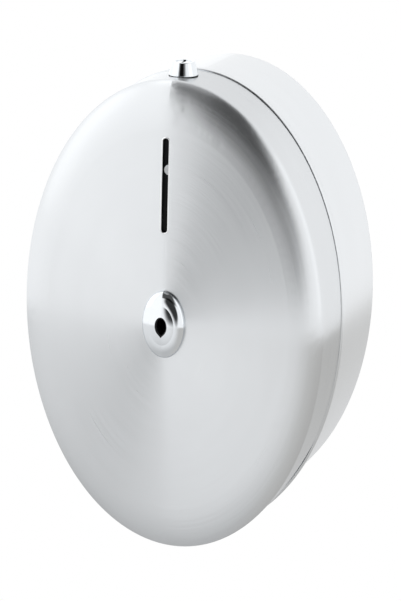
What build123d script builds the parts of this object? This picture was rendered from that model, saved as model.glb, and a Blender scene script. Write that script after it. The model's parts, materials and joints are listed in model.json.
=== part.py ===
from build123d import *
import math
import os

os.makedirs("parts", exist_ok=True)

# Wall-hung oval dispenser for folded toilet paper. Millimetres, +Z up, front towards -Y.
# The origin lies on the wall, at the middle of the oval back plate.
# A depth is measured forward from the wall, so depth d is the plane y = -d.

# Casing
half_width = 88.2
half_height = 135.0
sheet = 1.2
casing_depth = 64.5
back_edge_round = 1.6
rim_width = 4.5
rim_stand_off = 2.4
rim_round = 1.0
wall_hole_radius = 3.0
wall_hole_spacing_x = 90.0
wall_hole_spacing_z = 150.0

# Collar inside the casing's mouth, drawn in towards its front as a lead-in
collar_overlap = 16.0
collar_reach = 25.5
collar_lead_in = 1.0
hinge_notch_half_width = 33.0
hinge_notch_depth = 9.0

# Cover
skirt_stand_off = 1.6
skirt_gap = 1.0
skirt_length = 30.5
edge_inset = 32.0
edge_rise = 8.5
face_bulge = 2.7
edge_turn = 79.0
relief_height = 68.6
relief_lip = 0.5
slot_length = 53.4
slot_width = 4.4
slot_below_top = 57.4
slot_aside = -0.6

# Nozzle at the cover's middle
nozzle_height = 0.5
nozzle_half_x = 12.7
nozzle_half_z = 19.35
nozzle_rim = 0.8
nozzle_dome_draw = 10.0
nozzle_dome_rise = 3.4
nozzle_crown = 0.9
neck_half_x = 9.6
neck_half_z = 15.6
neck_length = 9.7
neck_wall = 1.2
neck_clearance = 0.2
drop_width = 5.6
drop_height = 10.0
drop_foot = 0.9
drop_fall = 0.6
throat_wall = 0.8
throat_clearance = 0.1
throat_recess = 0.7
nozzle_clip_band = 4.0
nozzle_clip_thickness = 1.0
nozzle_clip_gap = 0.25

# Sight window behind the slot
window_half_width = 8.0
window_margin = 6.5
window_thickness = 1.2
window_set_back = 0.8
frame_band = 3.0
frame_back = 1.0
frame_opening_half_width = 4.5
button_radius = 3.0
button_head = 0.7
button_stem_radius = 1.2
button_above_middle = 8.8
button_inside_edge = 0.3
window_clearance = 0.1

# Key lock on top of the skirt
lock_from_skirt_rear = 16.0
lock_top_radius = 6.25
lock_cone_radius = 8.0
lock_cone_height = 6.8
lock_edge_round = 0.5
lock_flange_radius = 8.2
lock_flange_thickness = 0.5
gasket_height = 0.3
lock_tube_radius = 6.0
lock_tube_below_skirt = 13.6
lock_hole_clearance = 0.1
washer_radius = 8.2
washer_thickness = 1.8
lock_nut_flats = 14.0
lock_nut_height = 3.0
barrel_radius = 3.75
barrel_clearance = 0.05
barrel_head_radius = 4.3
barrel_head_height = 0.8
barrel_head_recess = 0.4
keyway_width = 1.2
keyway_length = 4.8
keyway_depth = 6.0
drive_square = 4.6
cam_length = 14.0
cam_width = 8.0
cam_thickness = 1.5
cam_play = 0.2
cam_screw_radius = 1.25
cam_screw_length = 6.0
cam_screw_head_radius = 3.4
cam_screw_head_height = 1.5
cam_gap = 0.5
strike_near = 9.0
strike_width = 10.0
strike_height = 15.0
strike_flange = 8.0
lock_notch_half_width = 10.0

# Tray that the pack stands on
tray_rise = 37.2
tray_side_inset = 34.2
tray_overhang = 0.8
tray_side_set_back = 22.0
tray_side_height = 77.8
tray_back_height = 16.0
tray_corner = 8.0
rivet_radius = 2.0
rivet_head_radius = 3.6
rivet_head_height = 1.4
tray_rivet_spacing = 70.0
tray_rivet_rise = 6.8

# Hinge at the bottom
hinge_set_back = 3.5
hinge_rise = 8.0
hinge_pin_radius = 1.75
hinge_running_clearance = 0.05
hinge_eye_radius = 3.0
hinge_plate = 1.5
hinge_inner_half_width = 17.5
hinge_side_gap = 0.5
hinge_end_gap = 0.3
hinge_pin_head_radius = 3.2
hinge_pin_head = 1.5
hinge_pin_tail = 1.6
clip_thickness = 1.0
bracket_flange_depth = 30.0
bracket_rivet_spacing = 18.0
cover_plate_thickness = 2.0
cover_plate_height = 15.0

# Bumpers on the collar's front edge
bumper_height = 12.0
upper_bumper_level = 61.0
lower_bumper_level = -41.0
bumper_grip = 6.0
bumper_band = 3.0
bumper_gap = 0.35

# Pressure plate on two guide rods
plate_side_gap = 6.0
plate_half_height = 45.0
plate_corner = 10.0
plate_set_back = 10.0
plate_lip = 4.0
lug_half_height = 9.0
lug_past_rod = 6.0
rod_inset = 20.2
rod_radius = 2.5
rod_spigot_radius = 1.8
rod_foot_radius = 5.5
rod_foot_height = 2.0
rod_thread = 4.0
rod_nut_flats = 8.0
rod_nut_height = 3.2
bush_radius = 3.9
bush_clearance = 0.05
bush_flange_radius = 5.5
bush_flange_thickness = 1.6
bush_tail = 1.9
bush_nose = 2.7
bush_stop_gap = 0.3
spring_mean_radius = 4.6
spring_wire = 1.0
spring_turns = 15

# Places that follow from the sizes above
collar_rear = casing_depth - collar_overlap
collar_bend = casing_depth + skirt_gap
collar_front = casing_depth + collar_reach
collar_x = half_width - sheet
collar_z = half_height - sheet
skirt_rear = casing_depth + skirt_gap
skirt_front = skirt_rear + skirt_length
skirt_x = half_width + skirt_stand_off
skirt_z = half_height + skirt_stand_off
face_front = skirt_front + edge_rise + face_bulge
face_back = face_front - sheet
nozzle_front = face_front + nozzle_rim + nozzle_dome_rise + nozzle_crown
relief_start = skirt_z - relief_height
slot_middle = skirt_z - slot_below_top
slot_top = slot_middle + slot_length / 2
slot_bottom = slot_middle - slot_length / 2
button_height = slot_middle + button_above_middle
button_aside = slot_aside + slot_width / 2 - button_inside_edge
lock_depth = skirt_rear + lock_from_skirt_rear
lock_y = -lock_depth
lock_base = skirt_z + gasket_height
lock_cone_base = lock_base + lock_flange_thickness
lock_top = lock_cone_base + lock_cone_height
lock_tube_end = skirt_z - sheet - lock_tube_below_skirt
lock_nut_top = skirt_z - sheet - washer_thickness
cam_top = lock_tube_end - cam_play
cam_bottom = cam_top - cam_thickness
tray_half_width = half_width - tray_side_inset
tray_floor_level = tray_rise - half_height
tray_floor_depth = collar_front + tray_overhang
tray_side_depth = tray_floor_depth - tray_side_set_back
tray_side_top = tray_floor_level + tray_side_height
tray_rivet_level = tray_floor_level + tray_rivet_rise
tray_under = tray_floor_level - sheet
rod_spacing = 2 * (half_width - rod_inset)
lug_end = rod_spacing / 2 + lug_past_rod
plate_half_width = tray_half_width - plate_side_gap
plate_depth = collar_front - plate_set_back
plate_front = plate_depth + sheet
bush_front = plate_front + bush_nose
bush_rear = plate_depth - bush_flange_thickness - bush_tail
rod_shoulder = bush_front + bush_stop_gap
hinge_depth = skirt_front - hinge_set_back
hinge_level = hinge_rise - half_height
hinge_outer_half_width = hinge_inner_half_width + hinge_side_gap + hinge_plate


def at_depth(depth):
    """Plane parallel to the wall at this depth, facing forward, its x along X and its y along Z."""
    return Plane.XZ.offset(depth)


def oval_at(depth, semi_x, semi_z, centre=0.0):
    """Oval face at a depth, its centre raised by centre."""
    with BuildSketch(at_depth(depth)) as section:
        with Locations((0, centre)):
            Ellipse(semi_x, semi_z)
    return section.sketch


def domed_oval(rear, front, top, semi_x, semi_z, draw, rise):
    """Oval solid from rear to front, whose edge then curls in by draw and up by rise to a dome."""
    with BuildPart() as dome:
        with BuildSketch(Plane.YZ):
            with BuildLine():
                Line((-rear, semi_z), (-front, semi_z))
                middle = (-front, semi_z - draw)
                curl = EllipticalCenterArc(middle, rise, draw, 90, arc_size=edge_turn)
                TangentArc((-top, 0), curl @ 1, tangent=(0, 1))
                Polyline((-top, 0), (-rear, 0), (-rear, semi_z))
            make_face()
        revolve(axis=Axis.Y)
        scale(by=(semi_x / semi_z, 1, 1))
    return dome.part


def dished_solid(inset):
    """Solid in the cover's form, inset from its outside: skirt, rounded edge and domed face."""
    return domed_oval(
        skirt_rear,
        skirt_front,
        face_front - inset,
        skirt_x - inset,
        skirt_z - inset,
        edge_inset - inset,
        edge_rise - inset,
    )


def collar_solid(inset):
    """Solid in the collar's form, inset from its outside: straight, then drawn in to the front."""
    with BuildPart() as core:
        with BuildSketch(at_depth(collar_rear)):
            Ellipse(collar_x - inset, collar_z - inset)
        extrude(amount=collar_bend - collar_rear)
        front_x = collar_x - inset - collar_lead_in
        front_z = collar_z - inset - collar_lead_in
        bend = oval_at(collar_bend, collar_x - inset, collar_z - inset)
        loft(sections=[bend, oval_at(collar_front, front_x, front_z)], ruled=True)
    return core.part


def drop_shape(grow=0.0):
    """Oval face drawn out to a point at its foot, larger all round by grow."""
    semi_x = drop_width / 2 + grow
    semi_z = (drop_height - drop_foot) / 2 + grow
    reach = semi_z + drop_foot + grow * (math.sqrt(2) - 1)
    touch_x = semi_x * math.sqrt(1 - (semi_z / reach) ** 2)
    touch_z = -(semi_z**2) / reach
    with BuildSketch() as drop:
        with Locations((0, nozzle_height - drop_fall + drop_foot / 2)):
            Ellipse(semi_x, semi_z)
            Polygon((-touch_x, touch_z), (0, -reach), (touch_x, touch_z), align=None)
    return drop.sketch


# Solids that the pieces are cut from or to
cover_outside = dished_solid(0)
cover_inside = dished_solid(sheet)


# Deep oval pan that stands on the wall, with a thick rim round its mouth
with BuildPart() as rear_casing:
    with BuildSketch(at_depth(0)):
        Ellipse(half_width, half_height)
    extrude(amount=casing_depth)
    fillet(rear_casing.faces().sort_by(Axis.Y)[-1].edges(), back_edge_round)
    with BuildPart() as rim:
        with BuildSketch(at_depth(casing_depth - rim_width)):
            Ellipse(half_width + rim_stand_off, half_height + rim_stand_off)
        extrude(amount=rim_width)
        fillet(rim.edges(), rim_round)
    with BuildSketch(at_depth(sheet)):
        Ellipse(collar_x, collar_z)
    extrude(amount=casing_depth, mode=Mode.SUBTRACT)
    with BuildSketch(at_depth(0)):
        with GridLocations(wall_hole_spacing_x, wall_hole_spacing_z, 2, 2):
            Circle(wall_hole_radius)
        with Locations((0, tray_rivet_level)):
            with GridLocations(tray_rivet_spacing, 1, 2, 1):
                Circle(rivet_radius)
        with GridLocations(rod_spacing, 1, 2, 1):
            Circle(rod_spigot_radius)
    extrude(amount=sheet, mode=Mode.SUBTRACT)
rear_casing.part.label = "rear_casing"
export_step(rear_casing.part, "parts/rear_casing.step")


# Ring that the cover's skirt laps over, notched for the lock above and for the hinge below
with BuildPart() as collar_ring:
    add(collar_solid(0))
    add(collar_solid(sheet), mode=Mode.SUBTRACT)
    lock_notch_rear = lock_depth - lock_notch_half_width
    with BuildSketch(Plane.XY.offset(half_height / 2)):
        with Locations((0, -(lock_notch_rear + collar_front) / 2)):
            Rectangle(2 * lock_notch_half_width, collar_front - lock_notch_rear)
    extrude(amount=half_height, mode=Mode.SUBTRACT)
    with BuildSketch(Plane.XY.offset(-half_height / 2)):
        with Locations((0, -(collar_front - hinge_notch_depth / 2))):
            Rectangle(2 * hinge_notch_half_width, hinge_notch_depth)
    extrude(amount=-half_height, mode=Mode.SUBTRACT)
collar_ring.part.label = "collar_ring"
export_step(collar_ring.part, "parts/collar_ring.step")


# Dished cover with its slot, nozzle hole and lock hole, its skirt cut back towards the bottom
with BuildPart() as front_cover:
    add(cover_outside)
    add(cover_inside, mode=Mode.SUBTRACT)
    with BuildSketch(Plane.YZ):
        with BuildLine():
            Polyline(
                (-skirt_rear, -relief_start),
                (-(skirt_front - relief_lip), -skirt_z),
                (-(skirt_front - relief_lip), -skirt_z - sheet),
                (-casing_depth, -skirt_z - sheet),
                (-casing_depth, -relief_start),
                close=True,
            )
        make_face()
    extrude(amount=skirt_x, both=True, mode=Mode.SUBTRACT)
    with BuildSketch(at_depth(skirt_front)):
        with Locations((slot_aside, slot_middle)):
            SlotOverall(slot_length, slot_width, rotation=90)
        with Locations((0, nozzle_height)):
            Ellipse(neck_half_x + neck_clearance, neck_half_z + neck_clearance)
    extrude(amount=face_front - skirt_front, mode=Mode.SUBTRACT)
    with BuildSketch(Plane.XY.offset(skirt_z / 2)):
        with Locations((0, lock_y)):
            Circle(lock_tube_radius + lock_hole_clearance)
    extrude(amount=skirt_z, mode=Mode.SUBTRACT)
front_cover.part.label = "front_cover"
export_step(front_cover.part, "parts/front_cover.step")


# Oval domed ring at the middle of the cover, with a neck through the cover's hole
with BuildPart() as nozzle_bezel:
    add(
        domed_oval(
            face_front,
            face_front + nozzle_rim,
            nozzle_front,
            nozzle_half_x,
            nozzle_half_z,
            nozzle_dome_draw,
            nozzle_dome_rise,
        ).moved(Location((0, 0, nozzle_height)))
    )
    with BuildSketch(at_depth(face_front)):
        with Locations((0, nozzle_height)):
            Ellipse(neck_half_x, neck_half_z)
            Ellipse(neck_half_x - neck_wall, neck_half_z - neck_wall, mode=Mode.SUBTRACT)
    extrude(amount=-neck_length)
    with BuildSketch(at_depth(face_front)):
        add(drop_shape(throat_wall))
    extrude(amount=nozzle_front - face_front, mode=Mode.SUBTRACT)
nozzle_bezel.part.label = "nozzle_bezel"
export_step(nozzle_bezel.part, "parts/nozzle_bezel.step")


# Black funnel inside the nozzle, wide behind and drop-shaped in front
with BuildPart() as nozzle_throat:
    throat_x = neck_half_x - neck_wall - throat_clearance
    throat_z = neck_half_z - neck_wall - throat_clearance
    throat_rear = face_front - neck_length
    throat_shoulder = face_front - throat_clearance
    throat_nose = nozzle_front - throat_recess
    with BuildSketch(at_depth(throat_rear)):
        with Locations((0, nozzle_height)):
            Ellipse(throat_x, throat_z)
    extrude(amount=throat_shoulder - throat_rear)
    with BuildSketch(at_depth(throat_shoulder)):
        add(drop_shape(throat_wall - throat_clearance))
    extrude(amount=throat_nose - throat_shoulder)
    rear_mouth = oval_at(
        throat_rear, throat_x - throat_wall, throat_z - throat_wall, nozzle_height
    )
    front_mouth = oval_at(
        throat_shoulder - throat_wall,
        drop_width / 2,
        drop_height / 2,
        nozzle_height - drop_fall,
    )
    loft(sections=[rear_mouth, front_mouth], ruled=True, mode=Mode.SUBTRACT)
    with BuildSketch(at_depth(throat_shoulder - neck_length / 2)):
        add(drop_shape())
    extrude(amount=neck_length, mode=Mode.SUBTRACT)
nozzle_throat.part.label = "nozzle_throat"
export_step(nozzle_throat.part, "parts/nozzle_throat.step")


# Push-on oval ring that holds the nozzle's neck behind the cover
with BuildPart() as nozzle_clip:
    clip_front = face_back - nozzle_clip_gap
    with BuildSketch(at_depth(clip_front - nozzle_clip_thickness)):
        with Locations((0, nozzle_height)):
            Ellipse(neck_half_x + nozzle_clip_band, neck_half_z + nozzle_clip_band)
            Ellipse(neck_half_x, neck_half_z, mode=Mode.SUBTRACT)
    extrude(amount=nozzle_clip_thickness)
nozzle_clip.part.label = "nozzle_clip"
export_step(nozzle_clip.part, "parts/nozzle_clip.step")


def lining(start, thickness, half_x, low, high):
    """Curved strip behind the slot that follows the cover's inside, from start to start plus thickness."""
    with BuildPart() as strip:
        with BuildSketch(at_depth(skirt_rear)):
            with Locations((slot_aside, (low + high) / 2)):
                Rectangle(2 * half_x, high - low)
        extrude(amount=face_front - skirt_rear)
        add(cover_inside.moved(Location((0, start, 0))), mode=Mode.INTERSECT)
        add(cover_inside.moved(Location((0, start + thickness, 0))), mode=Mode.SUBTRACT)
    return strip.part


# Dark strip that closes the slot from behind
window_low = slot_bottom - window_margin
window_high = slot_top + window_margin
with BuildPart() as sight_window:
    add(lining(window_set_back, window_thickness, window_half_width, window_low, window_high))
    with BuildSketch(at_depth(skirt_rear)):
        with Locations((button_aside, button_height)):
            Circle(button_stem_radius)
    extrude(amount=face_front - skirt_rear, mode=Mode.SUBTRACT)
sight_window.part.label = "sight_window"
export_step(sight_window.part, "parts/sight_window.step")


# Frame that holds the window against the cover, with a bar across it for the button
frame_depth = window_set_back + window_thickness + frame_back
pocket_half_width = window_half_width + window_clearance
with BuildPart() as window_frame:
    add(
        lining(
            0,
            frame_depth,
            window_half_width + frame_band,
            window_low - frame_band,
            window_high + frame_band,
        )
    )
    add(
        lining(
            0,
            window_set_back + window_thickness,
            pocket_half_width,
            window_low - window_clearance,
            window_high + window_clearance,
        ),
        mode=Mode.SUBTRACT,
    )
    bar_low = button_height - frame_opening_half_width
    bar_high = button_height + frame_opening_half_width
    with BuildSketch(at_depth(skirt_rear)):
        with Locations((slot_aside, (slot_bottom + bar_low) / 2)):
            Rectangle(2 * frame_opening_half_width, bar_low - slot_bottom)
        with Locations((slot_aside, (slot_top + bar_high) / 2)):
            Rectangle(2 * frame_opening_half_width, slot_top - bar_high)
        with Locations((button_aside, button_height)):
            Circle(button_stem_radius)
    extrude(amount=face_front - skirt_rear, mode=Mode.SUBTRACT)
window_frame.part.label = "window_frame"
export_step(window_frame.part, "parts/window_frame.step")


# White button that shows at the slot's edge and pins the window to its frame
button_share = button_height / (skirt_z - edge_inset)
button_face = face_back - face_bulge * button_share**2
with BuildPart() as window_button:
    with BuildSketch(at_depth(skirt_rear)):
        with Locations((button_aside, button_height)):
            Circle(button_radius)
    extrude(amount=face_front - skirt_rear)
    add(
        lining(
            window_set_back - button_head,
            button_head,
            window_half_width,
            button_height - window_half_width,
            button_height + window_half_width,
        ),
        mode=Mode.INTERSECT,
    )
    with BuildSketch(at_depth(button_face - frame_depth)):
        with Locations((button_aside, button_height)):
            Circle(button_stem_radius)
    extrude(amount=frame_depth - window_set_back + button_head / 2)
window_button.part.label = "window_button"
export_step(window_button.part, "parts/window_button.step")


def skirt_oval(inset):
    """Solid as deep as the skirt, with the skirt's outer oval drawn in by inset."""
    with BuildPart() as core:
        with BuildSketch(at_depth(skirt_rear)):
            Ellipse(skirt_x - inset, skirt_z - inset)
        extrude(amount=skirt_length)
    return core.part


# Thin gasket between the lock's flange and the curved skirt
with BuildPart() as lock_gasket:
    with BuildSketch(Plane.XY.offset(skirt_z - sheet)):
        with Locations((0, lock_y)):
            Circle(lock_flange_radius)
            Circle(lock_tube_radius, mode=Mode.SUBTRACT)
    extrude(amount=sheet + gasket_height)
    add(skirt_oval(0), mode=Mode.SUBTRACT)
lock_gasket.part.label = "lock_gasket"
export_step(lock_gasket.part, "parts/lock_gasket.step")


# Conical lock body with its threaded tube through the skirt
with BuildPart() as lock_housing:
    with BuildSketch(Plane.XY.offset(lock_tube_end)):
        with Locations((0, lock_y)):
            Circle(lock_tube_radius)
    extrude(amount=lock_base - lock_tube_end)
    with BuildSketch(Plane.XY.offset(lock_base)):
        with Locations((0, lock_y)):
            Circle(lock_flange_radius)
    extrude(amount=lock_flange_thickness)
    with BuildSketch(Plane.XY.offset(lock_cone_base)):
        with Locations((0, lock_y)):
            Circle(lock_cone_radius)
    with BuildSketch(Plane.XY.offset(lock_top)):
        with Locations((0, lock_y)):
            Circle(lock_top_radius)
    loft()
    fillet(lock_housing.edges().sort_by(Axis.Z)[-1], lock_edge_round)
    with BuildSketch(Plane.XY.offset(lock_tube_end)):
        with Locations((0, lock_y)):
            Circle(barrel_radius + barrel_clearance)
    extrude(amount=lock_top - lock_tube_end, mode=Mode.SUBTRACT)
    head_seat = lock_top - barrel_head_recess - barrel_head_height
    with BuildSketch(Plane.XY.offset(head_seat - barrel_clearance)):
        with Locations((0, lock_y)):
            Circle(barrel_head_radius + barrel_clearance)
    extrude(amount=lock_cone_height, mode=Mode.SUBTRACT)
lock_housing.part.label = "lock_housing"
export_step(lock_housing.part, "parts/lock_housing.step")


# Washer under the skirt, curved on top to fit it
with BuildPart() as lock_washer:
    with BuildSketch(Plane.XY.offset(lock_nut_top)):
        with Locations((0, lock_y)):
            Circle(washer_radius)
            Circle(lock_tube_radius + lock_hole_clearance, mode=Mode.SUBTRACT)
    extrude(amount=washer_thickness)
    add(skirt_oval(sheet), mode=Mode.INTERSECT)
lock_washer.part.label = "lock_washer"
export_step(lock_washer.part, "parts/lock_washer.step")


# Six-sided nut on the lock's tube
with BuildPart() as lock_nut:
    with BuildSketch(Plane.XY.offset(lock_nut_top - lock_nut_height)):
        with Locations((0, lock_y)):
            RegularPolygon(lock_nut_flats / 2, 6, major_radius=False)
            Circle(lock_tube_radius, mode=Mode.SUBTRACT)
    extrude(amount=lock_nut_height)
lock_nut.part.label = "lock_nut"
export_step(lock_nut.part, "parts/lock_nut.step")


# Turning core of the lock, with its keyway above and a square for the cam below
with BuildPart() as lock_barrel:
    with BuildSketch(Plane.XY.offset(cam_top)):
        with Locations((0, lock_y)):
            Circle(barrel_radius)
    extrude(amount=head_seat - cam_top)
    with BuildSketch(Plane.XY.offset(head_seat)):
        with Locations((0, lock_y)):
            Circle(barrel_head_radius)
    extrude(amount=barrel_head_height)
    with BuildSketch(Plane.XY.offset(head_seat + barrel_head_height)):
        with Locations((0, lock_y)):
            Rectangle(keyway_width, keyway_length)
    extrude(amount=-keyway_depth, mode=Mode.SUBTRACT)
    with BuildSketch(Plane.XY.offset(cam_bottom)):
        with Locations((0, lock_y)):
            Rectangle(drive_square, drive_square)
    extrude(amount=cam_thickness)
    with BuildSketch(Plane.XY.offset(cam_bottom)):
        with Locations((0, lock_y)):
            Circle(cam_screw_radius)
    extrude(amount=cam_screw_length, mode=Mode.SUBTRACT)
lock_barrel.part.label = "lock_barrel"
export_step(lock_barrel.part, "parts/lock_barrel.step")


# Flat cam, turned towards the wall while the lock is open
with BuildPart() as lock_cam:
    with BuildSketch(Plane.XY.offset(cam_bottom)):
        with Locations((0, lock_y)):
            Circle(cam_width / 2)
            Rectangle(cam_width, cam_length, align=(Align.CENTER, Align.MIN))
            Rectangle(drive_square, drive_square, mode=Mode.SUBTRACT)
    extrude(amount=cam_thickness)
lock_cam.part.label = "lock_cam"
export_step(lock_cam.part, "parts/lock_cam.step")


# Screw that holds the cam on the core
with BuildPart() as cam_screw:
    with BuildSketch(Plane.XY.offset(cam_bottom)):
        with Locations((0, lock_y)):
            Circle(cam_screw_radius)
    extrude(amount=cam_screw_length)
    with BuildSketch(Plane.XY.offset(cam_bottom)):
        with Locations((0, lock_y)):
            Circle(cam_screw_head_radius)
    extrude(amount=-cam_screw_head_height)
    chamfer(cam_screw.edges().sort_by(Axis.Z)[0], cam_screw_head_height / 4)
cam_screw.part.label = "cam_screw"
export_step(cam_screw.part, "parts/cam_screw.step")


# Tab under the collar that the turned cam hooks behind
strike_rear = lock_depth + cam_width / 2 + cam_gap
strike_middle = strike_near + strike_width / 2
strike_bottom = (cam_top + cam_bottom) / 2 - strike_height / 3
with BuildPart() as strike_lining:
    add(collar_solid(sheet))
    add(collar_solid(2 * sheet), mode=Mode.SUBTRACT)
    with BuildSketch(Plane.XY.offset(half_height / 2)):
        with Locations((strike_middle + sheet, -(strike_rear - strike_flange / 2))):
            Rectangle(strike_width - 2 * sheet, strike_flange)
    extrude(amount=half_height, mode=Mode.INTERSECT)
with BuildPart() as strike_plate:
    with BuildSketch(Plane.XY.offset(strike_bottom)):
        with Locations((strike_middle, -(strike_rear + sheet / 2))):
            Rectangle(strike_width, sheet)
    extrude(amount=half_height)
    add(collar_solid(sheet), mode=Mode.INTERSECT)
    add(strike_lining.part)
strike_plate.part.label = "strike_plate"
export_step(strike_plate.part, "parts/strike_plate.step")


# Shelf for the pack, with a back flange and two side guides
with BuildPart() as pack_tray:
    outer_half = tray_half_width + sheet
    with BuildSketch(at_depth(sheet)):
        with BuildLine():
            Polyline(
                (-outer_half, tray_side_top),
                (-outer_half, tray_under),
                (outer_half, tray_under),
                (outer_half, tray_side_top),
                (tray_half_width, tray_side_top),
                (tray_half_width, tray_floor_level),
                (-tray_half_width, tray_floor_level),
                (-tray_half_width, tray_side_top),
                close=True,
            )
        make_face()
    extrude(amount=tray_side_depth)
    side_tops = pack_tray.edges().filter_by(Axis.X).group_by(Axis.Z)[-1]
    fillet(side_tops.group_by(Axis.Y)[0], tray_corner)
    with BuildSketch(Plane.XY.offset(tray_under)):
        Rectangle(2 * outer_half, tray_floor_depth, align=(Align.CENTER, Align.MAX))
    extrude(amount=sheet)
    with BuildSketch(Plane.XY.offset(tray_under)):
        Rectangle(2 * outer_half, sheet, align=(Align.CENTER, Align.MAX))
    extrude(amount=sheet, mode=Mode.SUBTRACT)
    with BuildSketch(at_depth(sheet)):
        with Locations((0, tray_under)):
            Rectangle(2 * outer_half, tray_back_height, align=(Align.CENTER, Align.MIN))
    extrude(amount=sheet)
    with BuildSketch(at_depth(sheet)):
        with Locations((0, tray_rivet_level)):
            with GridLocations(tray_rivet_spacing, 1, 2, 1):
                Circle(rivet_radius)
    extrude(amount=sheet, mode=Mode.SUBTRACT)
    bracket_front = tray_floor_depth - sheet
    bracket_middle = bracket_front - bracket_flange_depth / 2
    with BuildSketch(Plane.XY.offset(tray_under)):
        with Locations((0, -bracket_middle)):
            with GridLocations(bracket_rivet_spacing, 1, 2, 1):
                Circle(rivet_radius)
    extrude(amount=sheet, mode=Mode.SUBTRACT)
pack_tray.part.label = "pack_tray"
export_step(pack_tray.part, "parts/pack_tray.step")


# Rivets through the back plate and the tray's flange, flat behind and round in front
with BuildPart() as tray_rivets:
    with BuildSketch(at_depth(0)):
        with Locations((0, tray_rivet_level)):
            with GridLocations(tray_rivet_spacing, 1, 2, 1):
                Circle(rivet_radius)
    extrude(amount=2 * sheet)
    with BuildSketch(at_depth(2 * sheet)):
        with Locations((0, tray_rivet_level)):
            with GridLocations(tray_rivet_spacing, 1, 2, 1):
                Circle(rivet_head_radius)
    extrude(amount=rivet_head_height)
    fillet(tray_rivets.edges().group_by(Axis.Y)[0], rivet_head_height / 2)
tray_rivets.part.label = "tray_rivets"
export_step(tray_rivets.part, "parts/tray_rivets.step")


# Bracket under the tray, with two cheeks down to the hinge pin
with BuildPart() as hinge_bracket:
    flange_under = tray_under - hinge_plate
    bracket_rear = bracket_front - bracket_flange_depth
    with BuildSketch(Plane.XY.offset(flange_under)):
        with Locations((0, -bracket_middle)):
            Rectangle(2 * hinge_inner_half_width, bracket_flange_depth)
            with GridLocations(bracket_rivet_spacing, 1, 2, 1):
                Circle(rivet_radius, mode=Mode.SUBTRACT)
    extrude(amount=hinge_plate)
    for side in (-1, 1):
        inner_face = side * (hinge_inner_half_width - hinge_plate)
        with BuildSketch(Plane.YZ.offset(inner_face)):
            with BuildLine():
                Polyline(
                    (-bracket_rear, flange_under),
                    (-bracket_rear, flange_under - 2 * hinge_plate),
                    (-(hinge_depth - hinge_eye_radius), hinge_level + 2 * hinge_eye_radius),
                    (-(hinge_depth - hinge_eye_radius), hinge_level),
                    (-(hinge_depth + hinge_eye_radius), hinge_level),
                    (-(hinge_depth + hinge_eye_radius), hinge_level + 4 * hinge_eye_radius),
                    (-bracket_front, flange_under),
                    close=True,
                )
            make_face()
            with Locations((-hinge_depth, hinge_level)):
                Circle(hinge_eye_radius)
                Circle(hinge_pin_radius, mode=Mode.SUBTRACT)
        extrude(amount=side * hinge_plate)
hinge_bracket.part.label = "hinge_bracket"
export_step(hinge_bracket.part, "parts/hinge_bracket.step")


# Rivets through the tray's floor and the hinge bracket
with BuildPart() as hinge_rivets:
    rivet_tail = tray_under - hinge_plate - rivet_head_height
    with BuildSketch(Plane.XY.offset(tray_under - hinge_plate)):
        with Locations((0, -bracket_middle)):
            with GridLocations(bracket_rivet_spacing, 1, 2, 1):
                Circle(rivet_radius)
    extrude(amount=hinge_plate + sheet)
    with BuildSketch(Plane.XY.offset(rivet_tail)):
        with Locations((0, -bracket_middle)):
            with GridLocations(bracket_rivet_spacing, 1, 2, 1):
                Circle(rivet_head_radius)
    extrude(amount=rivet_head_height)
    fillet(hinge_rivets.edges().group_by(Axis.Z)[0], rivet_head_height / 2)
hinge_rivets.part.label = "hinge_rivets"
export_step(hinge_rivets.part, "parts/hinge_rivets.step")


# Pin through all four hinge cheeks, with a head at its left end
with BuildPart() as hinge_pin:
    pin_end = hinge_outer_half_width + hinge_end_gap + clip_thickness + hinge_pin_tail
    head_start = hinge_outer_half_width + hinge_end_gap
    with BuildSketch(Plane.YZ.offset(-head_start)):
        with Locations((-hinge_depth, hinge_level)):
            Circle(hinge_pin_radius)
    extrude(amount=head_start + pin_end)
    with BuildSketch(Plane.YZ.offset(-head_start)):
        with Locations((-hinge_depth, hinge_level)):
            Circle(hinge_pin_head_radius)
    extrude(amount=-hinge_pin_head)
    chamfer(hinge_pin.edges().sort_by(Axis.X)[-1], hinge_pin_radius / 4)
hinge_pin.part.label = "hinge_pin"
export_step(hinge_pin.part, "parts/hinge_pin.step")


# Push-on clip at the pin's right end
with BuildPart() as pin_clip:
    with BuildSketch(Plane.YZ.offset(head_start)):
        with Locations((-hinge_depth, hinge_level)):
            Circle(hinge_pin_head_radius)
            Circle(hinge_pin_radius, mode=Mode.SUBTRACT)
    extrude(amount=clip_thickness)
pin_clip.part.label = "pin_clip"
export_step(pin_clip.part, "parts/pin_clip.step")


# Bracket welded inside the cover, with two eyes that turn on the pin
with BuildPart() as cover_hinge_bracket:
    cheek_start = hinge_inner_half_width + hinge_side_gap
    plate_rear = skirt_front + edge_rise - sheet - cover_plate_thickness
    plate_low = hinge_level + 3 * hinge_eye_radius
    plate_high = plate_low + cover_plate_height
    for side in (-1, 1):
        with BuildSketch(Plane.YZ.offset(side * cheek_start)):
            with BuildLine():
                Polyline(
                    (-hinge_depth, hinge_level - hinge_eye_radius),
                    (-face_front, hinge_level - hinge_eye_radius),
                    (-face_front, plate_high),
                    (-plate_rear, plate_high),
                    (-hinge_depth, hinge_level + hinge_eye_radius),
                    close=True,
                )
            make_face()
            with Locations((-hinge_depth, hinge_level)):
                Circle(hinge_eye_radius)
        extrude(amount=side * hinge_plate)
    with BuildSketch(at_depth(plate_rear)):
        with Locations((0, plate_low)):
            Rectangle(
                2 * hinge_outer_half_width,
                cover_plate_height,
                align=(Align.CENTER, Align.MIN),
            )
    extrude(amount=face_front - plate_rear)
    add(cover_inside, mode=Mode.INTERSECT)
    with BuildSketch(Plane.YZ):
        with Locations((-hinge_depth, hinge_level)):
            Circle(hinge_pin_radius + hinge_running_clearance)
    extrude(amount=2 * hinge_outer_half_width, both=True, mode=Mode.SUBTRACT)
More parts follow.
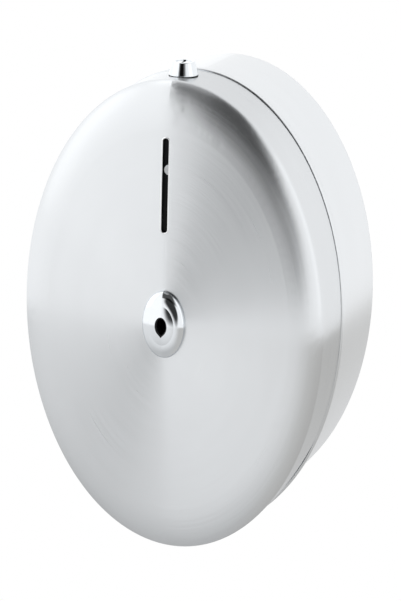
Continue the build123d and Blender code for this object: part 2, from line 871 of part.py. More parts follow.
cover_hinge_bracket.part.label = "cover_hinge_bracket"
export_step(cover_hinge_bracket.part, "parts/cover_hinge_bracket.step")


# Rubber stops, clipped inside the collar's front edge
bumper_x = collar_x - collar_lead_in
bumper_z = collar_z - collar_lead_in
bumper_inset = (skirt_x - sheet - bumper_x) / (edge_inset - sheet)
cover_above_bumper = (edge_rise - sheet) * math.sqrt(1 - (1 - bumper_inset) ** 2)
bumper_front = skirt_front + cover_above_bumper - bumper_gap
with BuildPart() as cover_bumpers:
    with BuildSketch(at_depth(collar_front - bumper_grip)):
        Ellipse(bumper_x, bumper_z)
        Ellipse(bumper_x - bumper_band, bumper_z - bumper_band, mode=Mode.SUBTRACT)
    extrude(amount=bumper_front - collar_front + bumper_grip)
    with BuildSketch(at_depth(0)):
        for level in (upper_bumper_level, lower_bumper_level):
            with Locations((0, level)):
                Rectangle(2 * half_width, bumper_height)
    extrude(amount=face_front, mode=Mode.INTERSECT)
    add(collar_solid(0) - collar_solid(sheet), mode=Mode.SUBTRACT)
cover_bumpers.part.label = "cover_bumpers"
export_step(cover_bumpers.part, "parts/cover_bumpers.step")


# Two rods that the pressure plate slides on, riveted into the back plate
with BuildPart() as guide_rods:
    with BuildSketch(at_depth(0)):
        with GridLocations(rod_spacing, 1, 2, 1):
            Circle(rod_spigot_radius)
    extrude(amount=rod_shoulder + rod_thread)
    with BuildSketch(at_depth(sheet)):
        with GridLocations(rod_spacing, 1, 2, 1):
            Circle(rod_radius)
    extrude(amount=rod_shoulder - sheet)
    with BuildSketch(at_depth(sheet)):
        with GridLocations(rod_spacing, 1, 2, 1):
            Circle(rod_foot_radius)
    extrude(amount=rod_foot_height)
guide_rods.part.label = "guide_rods"
export_step(guide_rods.part, "parts/guide_rods.step")


# Nuts that stop the plate at the rods' front ends
with BuildPart() as rod_nuts:
    with BuildSketch(at_depth(rod_shoulder)):
        with GridLocations(rod_spacing, 1, 2, 1):
            RegularPolygon(rod_nut_flats / 2, 6, major_radius=False)
            Circle(rod_spigot_radius, mode=Mode.SUBTRACT)
    extrude(amount=rod_nut_height)
rod_nuts.part.label = "rod_nuts"
export_step(rod_nuts.part, "parts/rod_nuts.step")


# Plate that pushes the pack forward, lipped above and below, with a lug at each side
with BuildPart() as pressure_plate:
    with BuildSketch(at_depth(plate_depth)):
        RectangleRounded(2 * plate_half_width, 2 * plate_half_height, plate_corner)
        RectangleRounded(2 * lug_end, 2 * lug_half_height, lug_half_height - sheet)
        with GridLocations(rod_spacing, 1, 2, 1):
            Circle(bush_radius, mode=Mode.SUBTRACT)
    extrude(amount=sheet)
    lip_middle = plate_half_height - sheet / 2
    with BuildSketch(at_depth(plate_depth)):
        with GridLocations(1, 2 * lip_middle, 1, 2):
            Rectangle(2 * (plate_half_width - plate_corner), sheet)
    extrude(amount=-plate_lip)
pressure_plate.part.label = "pressure_plate"
export_step(pressure_plate.part, "parts/pressure_plate.step")


# Plastic bushes in the plate's lugs, flanged behind for the springs
with BuildPart() as guide_bushes:
    with BuildSketch(at_depth(bush_rear)):
        with GridLocations(rod_spacing, 1, 2, 1):
            Circle(bush_radius)
    extrude(amount=bush_front - bush_rear)
    with BuildSketch(at_depth(plate_depth - bush_flange_thickness)):
        with GridLocations(rod_spacing, 1, 2, 1):
            Circle(bush_flange_radius)
    extrude(amount=bush_flange_thickness)
    with BuildSketch(at_depth(bush_rear)):
        with GridLocations(rod_spacing, 1, 2, 1):
            Circle(rod_radius + bush_clearance)
    extrude(amount=bush_front - bush_rear, mode=Mode.SUBTRACT)
guide_bushes.part.label = "guide_bushes"
export_step(guide_bushes.part, "parts/guide_bushes.step")


# Springs round the rods, each one unbroken wire from the rod's foot to the bush's flange
spring_rear = sheet + rod_foot_height + spring_wire / 2
spring_front = plate_depth - bush_flange_thickness - spring_wire / 2
spring_pitch = (spring_front - spring_rear) / spring_turns


def coil_point(turns):
    """Point on the wire's centre line after so many turns, round an axis at x = 0."""
    angle = 2 * math.pi * turns
    return Vector(
        spring_mean_radius * math.cos(angle),
        -(spring_rear + spring_pitch * turns),
        spring_mean_radius * math.sin(angle),
    )


def coil_heading(turns):
    """Direction of the wire there, of length 1."""
    angle = 2 * math.pi * turns
    around = 2 * math.pi * spring_mean_radius
    return Vector(
        -around * math.sin(angle), -spring_pitch, around * math.cos(angle)
    ).normalized()


def arc_joint(start, end, heading, end_heading):
    """Point where two arcs meet that leave start and reach end along the given headings."""
    span = end - start
    both = heading + end_heading
    spread = 2 * (1 - heading.dot(end_heading))
    reach = (
        math.sqrt(span.dot(both) ** 2 + spread * span.dot(span)) - span.dot(both)
    ) / spread
    return (start + heading * reach + end - end_heading * reach) * 0.5


with BuildPart() as spring_blank:
    with BuildLine() as coil_line:
        for step in range(4 * spring_turns):
            start = coil_point(step / 4)
            end = coil_point((step + 1) / 4)
            heading = coil_heading(step / 4)
            joint = arc_joint(start, end, heading, coil_heading((step + 1) / 4))
            first = TangentArc(start, joint, tangent=heading)
            TangentArc(joint, end, tangent=first % 1)
    with BuildSketch(Plane(coil_point(0), z_dir=coil_heading(0))):
        Circle(spring_wire / 2)
    sweep()
with BuildPart() as plate_springs:
    for side in (-1, 1):
        add(spring_blank.part.moved(Location((side * rod_spacing / 2, 0, 0))))
plate_springs.part.label = "plate_springs"
export_step(plate_springs.part, "parts/plate_springs.step")

samples = [coil_point(step / 24) for step in range(24 * spring_turns + 1)]
least = min(
    (samples[late] - samples[early]).length
    for early in range(len(samples))
    for late in range(early + 12, len(samples))
)
print("least gap between the spring's turns:", round(least - spring_wire, 2), "mm")
print("nozzle front at", round(nozzle_front, 2), "mm")
print("lock top at", round(lock_top, 2), "mm, barrel from", round(cam_bottom, 2), "mm")
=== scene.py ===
"""Wall-hung oval dispenser in brushed steel: finishes, trim and studio around its packed parts."""

import json
import math

import bmesh
import bpy
from mathutils import Matrix, Vector
from mathutils.bvhtree import BVHTree


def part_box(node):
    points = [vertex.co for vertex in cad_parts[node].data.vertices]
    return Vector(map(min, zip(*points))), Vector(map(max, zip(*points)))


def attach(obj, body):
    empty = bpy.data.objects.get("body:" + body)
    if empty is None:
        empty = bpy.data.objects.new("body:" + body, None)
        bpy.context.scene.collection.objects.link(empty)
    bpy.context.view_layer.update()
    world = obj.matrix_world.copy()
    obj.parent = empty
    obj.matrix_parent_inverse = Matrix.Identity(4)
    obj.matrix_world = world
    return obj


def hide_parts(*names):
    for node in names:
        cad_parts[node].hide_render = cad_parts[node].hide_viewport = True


bl_info = {
    "name": "Oval Steel Dispenser",
    "version": (1, 0, 0),
    "blender": (4, 5, 0),
    "location": "3D View > Sidebar > Dispenser",
    "description": "Finishes and studio for a wall-hung dispenser with a brushed oval cover",
    "category": "Object",
}

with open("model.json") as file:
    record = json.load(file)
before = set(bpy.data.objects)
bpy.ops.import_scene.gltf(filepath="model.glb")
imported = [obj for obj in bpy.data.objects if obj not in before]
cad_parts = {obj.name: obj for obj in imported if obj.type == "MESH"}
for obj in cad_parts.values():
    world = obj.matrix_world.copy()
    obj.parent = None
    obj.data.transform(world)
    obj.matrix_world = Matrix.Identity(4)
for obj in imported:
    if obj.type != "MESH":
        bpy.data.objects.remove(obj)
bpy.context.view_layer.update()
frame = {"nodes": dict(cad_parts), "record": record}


def nodes_in(slot):
    """Names of the CAD nodes that take their finish from this slot of the record."""
    parts = frame["record"]["subparts"]
    return [part["node"] for part in parts if part["material_slot"] == slot]


class Wire:
    """A number on its way through a node tree; arithmetic on it adds Math nodes."""

    def __init__(self, tree, socket):
        self.tree = tree
        self.socket = socket

    def math(self, operation, *others):
        sockets = dict(enumerate((self, *others)))
        return self.tree.node("Math", {"operation": operation}, sockets)[0]

    def __add__(self, other):
        return self.math("ADD", other)

    def __mul__(self, other):
        return self.math("MULTIPLY", other)

    __radd__ = __add__
    __rmul__ = __mul__

    def __sub__(self, other):
        return self.math("SUBTRACT", other)

    def __rsub__(self, other):
        return self.tree.node("Math", {"operation": "SUBTRACT"}, {0: other, 1: self})[0]

    def __truediv__(self, other):
        return self.math("DIVIDE", other)

    def root(self):
        return self.math("SQRT")

    def between(self, low, high):
        """0 below low, 1 above high, and smooth in between."""
        settings = {"interpolation_type": "SMOOTHSTEP"}
        sockets = {"Value": self, "From Min": low, "From Max": high}
        return self.tree.node("MapRange", settings, sockets)[0]


class Tree:
    """A material's or a world's nodes."""

    def __init__(self, owner):
        owner.use_nodes = True
        self.nodes = owner.node_tree.nodes
        self.links = owner.node_tree.links
        self.nodes.clear()

    def node(self, kind, settings=None, sockets=None):
        """Adds a shader node, its settings first, then the values or links of its sockets."""
        made = self.nodes.new("ShaderNode" + kind)
        for name, value in (settings or {}).items():
            setattr(made, name, value)
        for name, value in (sockets or {}).items():
            if isinstance(value, Wire):
                self.links.new(value.socket, made.inputs[name])
            else:
                made.inputs[name].default_value = value
        return [Wire(self, output) for output in made.outputs]

    def place(self):
        """The x, y and z of the surface in its object's own metres."""
        point = self.node("TexCoord")[3]
        return self.node("SeparateXYZ", sockets={0: point})

    def vector(self, x, y, z):
        return self.node("CombineXYZ", sockets={0: x, 1: y, 2: z})[0]

    def noise(self, vector, scale, detail=2.0):
        """Smooth noise, from 0 to 1 with its middle near a half."""
        sockets = {"Vector": vector, "Scale": scale, "Detail": detail}
        return self.node("TexNoise", sockets=sockets)[0]

    def shade(self, colour, amount):
        """The colour made lighter or darker by a factor that varies over the surface."""
        grey = self.node("CombineColor", sockets={0: amount, 1: amount, 2: amount})[0]
        settings = {"data_type": "RGBA", "blend_type": "MULTIPLY"}
        return self.node("Mix", settings, {0: 1.0, 6: rgba(colour), 7: grey})[2]

    def bump(self, height, distance):
        """Normal of a surface whose relief is height, from 0 to 1, times distance in metres."""
        return self.node("Bump", sockets={"Height": height, "Distance": distance})[0]

    def surface(self, **sockets):
        """A Principled shader with these sockets, joined to the output."""
        named = {name.replace("_", " "): value for name, value in sockets.items()}
        shader = self.node("BsdfPrincipled", sockets=named)[0]
        self.node("OutputMaterial", sockets={0: shader})


def finish(name):
    """A new material by this name and its empty tree."""
    material = bpy.data.materials.new(name)
    return material, Tree(material)


def rgba(colour):
    return (*colour, 1.0)


class ShellSettings(bpy.types.PropertyGroup):
    """Colour and brushing of the cover and casing."""

    steel: bpy.props.FloatVectorProperty(
        name="Steel", description="Colour of the brushed steel", subtype="COLOR", size=3,
        min=0.0, max=1.0, default=(0.775, 0.795, 0.815),
    )
    roughness: bpy.props.FloatProperty(
        name="Roughness", description="Roughness of the brushed face",
        default=0.25, min=0.05, max=0.9,
    )
    brushing: bpy.props.FloatProperty(
        name="Brushing", description="How far the brushing draws a highlight out",
        default=1.0, min=0.0, max=1.0,
    )
    groove_spacing: bpy.props.FloatProperty(
        name="Groove spacing", description="Width of one brushed streak",
        default=0.0006, min=0.0001, max=0.01, unit="LENGTH", subtype="DISTANCE",
    )
    groove_depth: bpy.props.FloatProperty(
        name="Groove depth", description="Depth of the brushed streaks",
        default=0.000002, min=0.0, max=0.001, unit="LENGTH", subtype="DISTANCE",
    )
    cloud_width: bpy.props.FloatProperty(
        name="Cloud width", description="Width of one broad, faint cloud in the brushing",
        default=1 / 90, min=0.001, max=0.1, unit="LENGTH", subtype="DISTANCE",
    )


class SlotSettings(bpy.types.PropertyGroup):
    """Sizes and colour of the sight slot's rolled lip."""

    width: bpy.props.FloatProperty(
        name="Slot width", description="Width of the sight slot",
        default=0.0044, unit="LENGTH", subtype="DISTANCE",
    )
    window_margin: bpy.props.FloatProperty(
        name="Window margin", description="How far the window reaches past each end of the slot",
        default=0.0065, unit="LENGTH", subtype="DISTANCE",
    )
    lip_radius: bpy.props.FloatProperty(
        name="Lip radius", description="Radius of the lip rolled along the slot",
        default=0.00045, unit="LENGTH", subtype="DISTANCE",
    )
    lip_sink: bpy.props.FloatProperty(
        name="Lip sink", description="Depth of the lip's middle below the face, in lip radii",
        default=0.6, min=0.0, max=1.0,
    )
    lip_colour: bpy.props.FloatVectorProperty(
        name="Lip colour", description="Colour of the bright lip", subtype="COLOR", size=3,
        min=0.0, max=1.0, default=(0.93, 0.94, 0.95),
    )


class TrimSettings(bpy.types.PropertyGroup):
    """Colours of the nozzle, the lock and the pieces inside."""

    chrome: bpy.props.FloatVectorProperty(
        name="Chrome", description="Colour of the nozzle and lock", subtype="COLOR", size=3,
        min=0.0, max=1.0, default=(0.82, 0.85, 0.88),
    )
    plain_steel: bpy.props.FloatVectorProperty(
        name="Plain steel", description="Colour of the unbrushed pressings", subtype="COLOR",
        size=3, min=0.0, max=1.0, default=(0.52, 0.52, 0.53),
    )
    zinc: bpy.props.FloatVectorProperty(
        name="Zinc", description="Colour of rivets, nuts and pins", subtype="COLOR", size=3,
        min=0.0, max=1.0, default=(0.66, 0.67, 0.66),
    )
    black: bpy.props.FloatVectorProperty(
        name="Black plastic", description="Colour of the black mouldings", subtype="COLOR",
        size=3, min=0.0, max=1.0, default=(0.012, 0.012, 0.013),
    )
    white: bpy.props.FloatVectorProperty(
        name="White plastic", description="Colour of the button and bushes", subtype="COLOR",
        size=3, min=0.0, max=1.0, default=(0.82, 0.83, 0.84),
    )


class StageSettings(bpy.types.PropertyGroup):
    """Camera, and the floor below the dispenser."""

    azimuth: bpy.props.FloatProperty(
        name="Azimuth", description="Camera's turn to the right of straight ahead",
        default=math.radians(21.52), unit="ROTATION", subtype="ANGLE",
    )
    elevation: bpy.props.FloatProperty(
        name="Elevation", description="Camera's height above the horizon",
        default=math.radians(16.82), unit="ROTATION", subtype="ANGLE",
    )
    roll: bpy.props.FloatProperty(
        name="Roll", description="Camera's lean", default=math.radians(0.67),
        unit="ROTATION", subtype="ANGLE",
    )
    distance: bpy.props.FloatProperty(
        name="Distance", description="From the camera to the middle of the dispenser",
        default=1.278, unit="LENGTH", subtype="DISTANCE",
    )
    lens: bpy.props.FloatProperty(
        name="Lens", description="Focal length", default=132.1, unit="CAMERA",
    )
    middle_depth: bpy.props.FloatProperty(
        name="Middle depth", description="Depth of the point that the lamps and camera face",
        default=0.05, unit="LENGTH", subtype="DISTANCE",
    )
    shift_right: bpy.props.FloatProperty(
        name="Shift right", description="How far the camera is moved to its right",
        default=-0.0008, unit="LENGTH", subtype="DISTANCE",
    )
    shift_up: bpy.props.FloatProperty(
        name="Shift up", description="How far the camera is moved up",
        default=-0.0015, unit="LENGTH", subtype="DISTANCE",
    )
    floor_drop: bpy.props.FloatProperty(
        name="Floor drop", description="Floor's distance below the wall fixing's middle",
        default=0.5, unit="LENGTH", subtype="DISTANCE",
    )


SETTINGS = {
    "dispenser_shell": ShellSettings,
    "dispenser_slot": SlotSettings,
    "dispenser_trim": TrimSettings,
    "dispenser_stage": StageSettings,
}


def tube_loop(name, points, radius, sides=14):
    """Closed tube along points that lie round the Y axis, as a smooth mesh object."""
    mesh = bpy.data.meshes.new(name)
    made = bmesh.new()
    count = len(points)
    rings = []
    for index, point in enumerate(points):
        along = (points[(index + 1) % count] - points[index - 1]).normalized()
        out = along.cross(Vector((0.0, 1.0, 0.0))).normalized()
        lift = out.cross(along)
        ring = []
        for side in range(sides):
            angle = 2 * math.pi * side / sides
            offset = out * math.cos(angle) + lift * math.sin(angle)
            ring.append(made.verts.new(point + offset * radius))
        rings.append(ring)
    for index, ring in enumerate(rings):
        following = rings[(index + 1) % count]
        for side in range(sides):
            other = (side + 1) % sides
            face = made.faces.new((ring[side], ring[other], following[other], following[side]))
            face.smooth = True
    bmesh.ops.recalc_face_normals(made, faces=made.faces)
    made.to_mesh(mesh)
    made.free()
    piece = bpy.data.objects.new(name, mesh)
    bpy.context.scene.collection.objects.link(piece)
    return piece


def brushed_steel(name, settings, semi_x, semi_z, axial):
    """Steel brushed in ovals round the dispenser's middle; axial says that local Z is the axis."""
    darkest, streak_tone, cloud_tone = 0.95, 0.06, 0.04
    roughness_swing = 0.10
    clouds_round = 1.5
    material, tree = finish(name)
    x, y, z = tree.place()
    upright, depth = (y, z) if axial else (z, y)
    across = x / semi_x
    up = upright / semi_z
    radius = (across * across + up * up).root()
    ring = radius * semi_x + depth
    streaks = tree.vector(ring / settings.groove_spacing, across / radius, up / radius)
    fine = tree.noise(streaks, 1.0, detail=4.0)
    clouds = tree.vector(
        ring / settings.cloud_width,
        across / radius * clouds_round,
        up / radius * clouds_round,
    )
    broad = tree.noise(clouds, 1.0)
    tone = darkest + fine * streak_tone + broad * cloud_tone
    tree.surface(
        Base_Color=tree.shade(settings.steel, tone),
        Metallic=1.0,
        Roughness=settings.roughness - roughness_swing / 2 + fine * roughness_swing,
        Anisotropic=settings.brushing if axial else 0.0,
        Anisotropic_Rotation=0.25,
        Normal=tree.bump(fine, settings.groove_depth),
    )
    return material


def chrome(name, colour, roughness=0.05):
    """Polished plating with a faint haze of wiping marks."""
    haze_scale, relief = 220.0, 0.000002
    darkest, tone_swing, roughness_swing = 0.96, 0.06, 0.03
    material, tree = finish(name)
    haze = tree.noise(tree.vector(*tree.place()), haze_scale, detail=3.0)
    tree.surface(
        Base_Color=tree.shade(colour, darkest + haze * tone_swing),
        Metallic=1.0,
        Roughness=roughness + haze * roughness_swing,
        Normal=tree.bump(haze, relief),
    )
    return material


def rolled_metal(name, colour, roughness=0.34):
    """Bare sheet or drawn metal, with the grain of rolling and light scuffs."""
    wide, narrow, scuff_scale, relief = 260.0, 2400.0, 60.0, 0.000008
    darkest, grain_tone, scuff_tone = 0.88, 0.12, 0.10
    smoothest, grain_blur, scuff_blur = roughness - 0.08, 0.12, 0.06
    material, tree = finish(name)
    x, y, z = tree.place()
    grain = tree.noise(tree.vector(x * wide, y * wide, z * narrow), 1.0, detail=3.0)
    scuffs = tree.noise(tree.vector(x, y, z), scuff_scale, detail=5.0)
    tree.surface(
        Base_Color=tree.shade(colour, darkest + grain * grain_tone + scuffs * scuff_tone),
        Metallic=1.0,
        Roughness=smoothest + grain * grain_blur + scuffs * scuff_blur,
        Normal=tree.bump(grain, relief),
    )
    return material


def moulded(name, colour, roughness=0.42, grain_scale=2600.0, shine=0.5):
    """Moulded plastic or rubber with a fine even grain."""
    dust_scale, relief = 90.0, 0.00001
    darkest, tone_swing, roughness_swing = 0.92, 0.16, 0.12
    material, tree = finish(name)
    point = tree.vector(*tree.place())
    grain = tree.noise(point, grain_scale)
    dust = tree.noise(point, dust_scale, detail=4.0)
    tree.surface(
        Base_Color=tree.shade(colour, darkest + dust * tone_swing),
        Roughness=roughness - roughness_swing / 2 + dust * roughness_swing,
        Specular_IOR_Level=shine,
        Normal=tree.bump(grain, relief),
    )
    return material


def clothe(nodes, material):
    """Puts a material on the CAD nodes by these names."""
    for name in nodes:
        node = frame["nodes"][name]
        if not node.material_slots:
            node.data.materials.append(material)
        for slot in node.material_slots:
            slot.material = material


class FinishCover(bpy.types.Operator):
    """Dresses the front cover in steel brushed in rings round its nozzle"""

    bl_idname = "dispenser.finish_cover"
    bl_label = "Brushed cover"

    def execute(self, context):
        settings = context.scene.dispenser_shell
        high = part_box("front_cover")[1]
        turned = Matrix.Rotation(math.pi / 2, 4, "X")
        mesh = frame["nodes"]["front_cover"].data.copy()
        mesh.transform(turned.inverted())
        cover = bpy.data.objects.new("brushed_cover", mesh)
        context.scene.collection.objects.link(cover)
        cover.matrix_world = turned
        mesh.materials.clear()
        steel = brushed_steel("Cover_Steel", settings, high.x, high.z, axial=True)
        mesh.materials.append(steel)
        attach(cover, "cover")
        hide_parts("front_cover")
        return {"FINISHED"}


class FinishCasing(bpy.types.Operator):
    """Dresses the rear casing in brushed steel"""

    bl_idname = "dispenser.finish_casing"
    bl_label = "Brushed casing"

    def execute(self, context):
        settings = context.scene.dispenser_shell
        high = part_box("rear_casing")[1]
        steel = brushed_steel("Casing_Steel", settings, high.x, high.z, axial=False)
        clothe(["rear_casing"], steel)
        return {"FINISHED"}


class RollSlotLip(bpy.types.Operator):
    """Rolls a thin bright lip round the sight slot"""

    bl_idname = "dispenser.roll_slot_lip"
    bl_label = "Slot lip"

    def execute(self, context):
        settings = context.scene.dispenser_slot
        low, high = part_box("sight_window")
        end_radius = settings.width / 2
        bottom = low.z + settings.window_margin + end_radius
        top = high.z - settings.window_margin - end_radius
        centre = (low.x + high.x) / 2
        cover = frame["nodes"]["front_cover"].data
        surface = BVHTree.FromPolygons(
            [vertex.co for vertex in cover.vertices],
            [face.vertices for face in cover.polygons],
        )
        outline = []
        steps = 24
        for step in range(steps + 1):
            angle = math.pi * step / steps
            outline.append((math.cos(angle), math.sin(angle), top))
        for step in range(1, steps):
            outline.append((-1.0, 0.0, top + (bottom - top) * step / steps))
        for step in range(steps + 1):
            angle = math.pi + math.pi * step / steps
            outline.append((math.cos(angle), math.sin(angle), bottom))
        for step in range(1, steps):
            outline.append((1.0, 0.0, bottom + (top - bottom) * step / steps))
        reach = end_radius + settings.lip_radius
        ahead_of_cover = -1.0
        inward = Vector((0.0, 1.0, 0.0))
        sink = settings.lip_sink * settings.lip_radius
        points = []
        for across, up, middle in outline:
            start = Vector((centre + across * reach, ahead_of_cover, middle + up * reach))
            hit = surface.ray_cast(start, inward)[0]
            if hit is None:
                raise RuntimeError("the cover has no surface beside its slot")
            across_slot = centre + across * end_radius
            points.append(Vector((across_slot, hit.y + sink, middle + up * end_radius)))
        lip = tube_loop("slot_lip", points, settings.lip_radius)
        lip.data.materials.append(chrome("Lip_Steel", settings.lip_colour, roughness=0.16))
        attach(lip, "cover")
        return {"FINISHED"}


class FinishTrim(bpy.types.Operator):
    """Plates the nozzle and the key lock in chrome"""

    bl_idname = "dispenser.finish_trim"
    bl_label = "Chrome nozzle and lock"

    def execute(self, context):
        settings = context.scene.dispenser_trim
        clothe(nodes_in("chrome_trim"), chrome("Bright_Chrome", settings.chrome))
        return {"FINISHED"}


class FinishInside(bpy.types.Operator):
    """Dresses the collar, tray, brackets, plate, rods, rivets and springs in bare metal"""

    bl_idname = "dispenser.finish_inside"
    bl_label = "Bare metal inside"

    def execute(self, context):
        settings = context.scene.dispenser_trim
        clothe(nodes_in("plain_steel"), rolled_metal("Rolled_Steel", settings.plain_steel))
        zinc = settings.zinc
        clothe(nodes_in("fasteners"), rolled_metal("Bright_Zinc", zinc, roughness=0.28))
        clothe(nodes_in("spring_wire"), rolled_metal("Spring_Wire", zinc, roughness=0.22))
        return {"FINISHED"}


class FinishMouldings(bpy.types.Operator):
    """Dresses the window, throat, button, bushes and rubber stops as mouldings"""

    bl_idname = "dispenser.finish_mouldings"
    bl_label = "Plastic and rubber"

    def execute(self, context):
        settings = context.scene.dispenser_trim
        black, white = settings.black, settings.white
        plastic = moulded("Black_Moulding", black, shine=0.2)
        pale = moulded("White_Moulding", white, roughness=0.35)
        smoked = moulded("Smoked_Window", black, roughness=0.2, shine=0.05)
        rubber = moulded("Soft_Rubber", black, roughness=0.7, grain_scale=1200.0)
        clothe(nodes_in("black_plastic"), plastic)
        clothe(nodes_in("white_plastic"), pale)
        clothe(nodes_in("smoked_window"), smoked)
        clothe(nodes_in("rubber"), rubber)
        return {"FINISHED"}


# Soft lamps: name, place and size in metres, and power in watts
LAMPS = (
    ("left_softbox", (-1.5, -0.9, 0.55), (1.1, 1.3), 1.0),
    ("top_softbox", (-0.3, -0.5, 1.5), (1.2, 0.9), 1.0),
    ("right_fill", (1.3, -0.2, 0.3), (0.8, 1.2), 0.5),
)

# Edges of the mirrored studio's sides: each blends between two values of a direction's x, y or z
LEFT_EDGE = (-0.370, -0.335)
ASIDE_EDGE = (-0.15, 0.50)
WARM_EDGE = (-0.10, 0.50)
FRONT_END = (-0.10, 0.25)
DEEP_END = (-0.75, -0.35)
WALL_FOOT = (-0.315, -0.280)
OVERHEAD_EDGE = (0.22, 0.32)
OVERHEAD_END = (0.45, 0.75)

# Direction of the unlit side, and the cosines to it between which it fades in
UNLIT_SIDE = (0.10, -1.0, 0.10)
UNLIT_EDGE = (0.905, 0.965)

# Brightness of the sides, where 1 is white, and how far each shade or gain changes it
LEFT_GROUND, LEFT_DEEP_SHADE, LEFT_WALL_GAIN = 0.85, 0.28, 0.33
RIGHT_GROUND, RIGHT_GROUND_SHADE = 0.91, 0.36
RIGHT_WALL, UNLIT_SHADE, OVERHEAD_SHADE = 1.06, 1.02, 0.92
WARM_RED, WARM_BLUE = 0.02, 0.03

# Colours of the floor and of what the camera sees behind the dispenser
PALE_FLOOR = (0.85, 0.86, 0.88)
PLAIN_WHITE = (1.0, 1.0, 1.0)


def add_lamp(name, place, size, power, target):
    """Rectangular soft lamp at a place, facing a target."""
    data = bpy.data.lights.new(name, "AREA")
    data.shape = "RECTANGLE"
    data.size, data.size_y = size
    data.energy = power
    lamp = bpy.data.objects.new(name, data)
    bpy.context.scene.collection.objects.link(lamp)
    lamp.location = place
    lamp.rotation_mode = "QUATERNION"
    aim = target - Vector(place)
    lamp.rotation_quaternion = aim.to_track_quat("-Z", "Y")


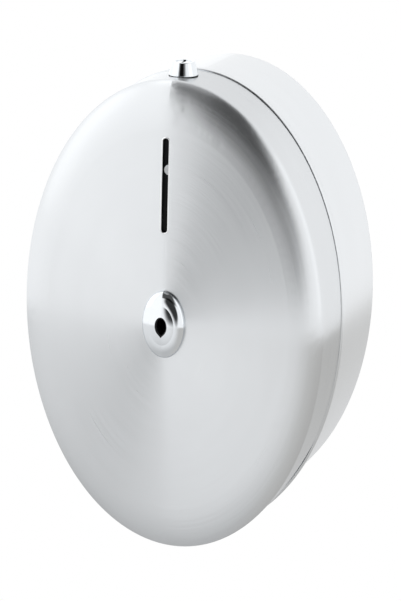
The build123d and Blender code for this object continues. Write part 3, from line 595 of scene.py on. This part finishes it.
class SetStage(bpy.types.Operator):
    """Sets the floor, the surroundings, the lamps and the camera"""

    bl_idname = "dispenser.set_stage"
    bl_label = "Studio"

    def execute(self, context):
        scene = context.scene
        settings = scene.dispenser_stage
        self.add_floor(scene, settings.floor_drop)
        self.light_surroundings(scene)
        middle = Vector((0.0, -settings.middle_depth, 0.0))
        for lamp in LAMPS:
            add_lamp(*lamp, middle)
        self.place_camera(scene, settings, middle)
        scene.view_settings.view_transform = "Standard"
        return {"FINISHED"}

    def add_floor(self, scene, drop):
        """Wide pale floor, plain white to the camera and clear in reflections."""
        half = 6.0
        corners = [(-half, -half), (half, -half), (half, half), (-half, half)]
        mesh = bpy.data.meshes.new("floor")
        mesh.from_pydata([(x, y, -drop) for x, y in corners], [], [(0, 1, 2, 3)])
        floor = bpy.data.objects.new("floor", mesh)
        scene.collection.objects.link(floor)
        material, tree = finish("Pale_Floor")
        path = tree.node("LightPath")
        to_camera, in_reflection = path[0], path[3]
        matt = tree.node("BsdfDiffuse", sockets={0: rgba(PALE_FLOOR)})[0]
        white = tree.node("Emission", sockets={0: rgba(PLAIN_WHITE), 1: 1.0})[0]
        clear = tree.node("BsdfTransparent")[0]
        seen = tree.node("MixShader", sockets={0: to_camera, 1: matt, 2: white})[0]
        mixed = tree.node("MixShader", sockets={0: in_reflection, 1: seen, 2: clear})[0]
        tree.node("OutputMaterial", sockets={0: mixed})
        mesh.materials.append(material)

    def light_surroundings(self, scene):
        """Pale studio, dark straight in front and high in front; the camera sees plain white."""
        world = bpy.data.worlds.new("studio")
        scene.world = world
        tree = Tree(world)
        direction = tree.node("TexCoord")[0]
        x, y, z = tree.node("SeparateXYZ", sockets={0: direction})
        left = 1.0 - x.between(*LEFT_EDGE)
        above = z.between(*WALL_FOOT)
        front = 1.0 - y.between(*FRONT_END)
        deep = 1.0 - z.between(*DEEP_END)
        aside = x.between(*ASIDE_EDGE)
        dark_side = Vector(UNLIT_SIDE).normalized()
        toward = tree.node(
            "VectorMath", {"operation": "DOT_PRODUCT"}, {0: direction, 1: dark_side}
        )[1]
        unlit = toward.between(*UNLIT_EDGE)
        overhead = z.between(*OVERHEAD_EDGE) * front * (1.0 - x.between(*OVERHEAD_END))
        right_above = RIGHT_WALL - unlit * UNLIT_SHADE
        right_above = right_above - overhead * right_above * OVERHEAD_SHADE
        right_below = RIGHT_GROUND - (deep + aside - deep * aside) * RIGHT_GROUND_SHADE
        left_side = LEFT_GROUND - deep * LEFT_DEEP_SHADE + above * LEFT_WALL_GAIN
        right_side = right_below + above * (right_above - right_below)
        level = right_side + left * (left_side - right_side)
        warmth = (1.0 - above) * (1.0 - left) * x.between(*WARM_EDGE)
        red = level * (1.0 + warmth * WARM_RED)
        blue = level * (1.0 - warmth * WARM_BLUE)
        tint = tree.node("CombineColor", sockets={0: red, 1: level, 2: blue})[0]
        studio = tree.node("Background", sockets={0: tint, 1: 1.0})[0]
        white = tree.node("Background", sockets={0: rgba(PLAIN_WHITE), 1: 1.0})[0]
        to_camera = tree.node("LightPath")[0]
        mixed = tree.node("MixShader", sockets={0: to_camera, 1: studio, 2: white})[0]
        tree.node("OutputWorld", sockets={0: mixed})

    def place_camera(self, scene, settings, middle):
        """Camera where the photograph was taken from."""
        azimuth, elevation, roll = settings.azimuth, settings.elevation, settings.roll
        back = Vector((
            math.sin(azimuth) * math.cos(elevation),
            -math.cos(azimuth) * math.cos(elevation),
            math.sin(elevation),
        ))
        level = Vector((math.cos(azimuth), math.sin(azimuth), 0.0))
        right = level * math.cos(roll) + back.cross(level) * math.sin(roll)
        up = back.cross(right)
        target = middle + right * settings.shift_right + up * settings.shift_up
        data = bpy.data.cameras.new("camera")
        data.lens = settings.lens
        data.sensor_width = 36.0
        camera = bpy.data.objects.new("camera", data)
        scene.collection.objects.link(camera)
        turn = Matrix((right, up, back)).transposed().to_4x4()
        camera.matrix_world = Matrix.Translation(target + back * settings.distance) @ turn
        scene.camera = camera


STEPS = (
    FinishCover,
    FinishCasing,
    RollSlotLip,
    FinishTrim,
    FinishInside,
    FinishMouldings,
    SetStage,
)


class DispenserPanel(bpy.types.Panel):
    """Lists the dispenser's settings and steps"""

    bl_idname = "VIEW3D_PT_dispenser"
    bl_label = "Oval Steel Dispenser"
    bl_space_type = "VIEW_3D"
    bl_region_type = "UI"
    bl_category = "Dispenser"

    def draw(self, context):
        for name, group in SETTINGS.items():
            box = self.layout.box()
            box.label(text=group.__doc__)
            for field in group.__annotations__:
                box.prop(getattr(context.scene, name), field)
        for step in STEPS:
            self.layout.operator(step.bl_idname)


def register():
    for group in (*SETTINGS.values(), *STEPS, DispenserPanel):
        bpy.utils.register_class(group)
    for name, group in SETTINGS.items():
        setattr(bpy.types.Scene, name, bpy.props.PointerProperty(type=group))


def unregister():
    for name in SETTINGS:
        delattr(bpy.types.Scene, name)
    for group in reversed((*SETTINGS.values(), *STEPS, DispenserPanel)):
        bpy.utils.unregister_class(group)


def main():
    register()
    for step in STEPS:
        group, name = step.bl_idname.split(".")
        getattr(getattr(bpy.ops, group), name)()


if __name__ == "__main__":
    main()
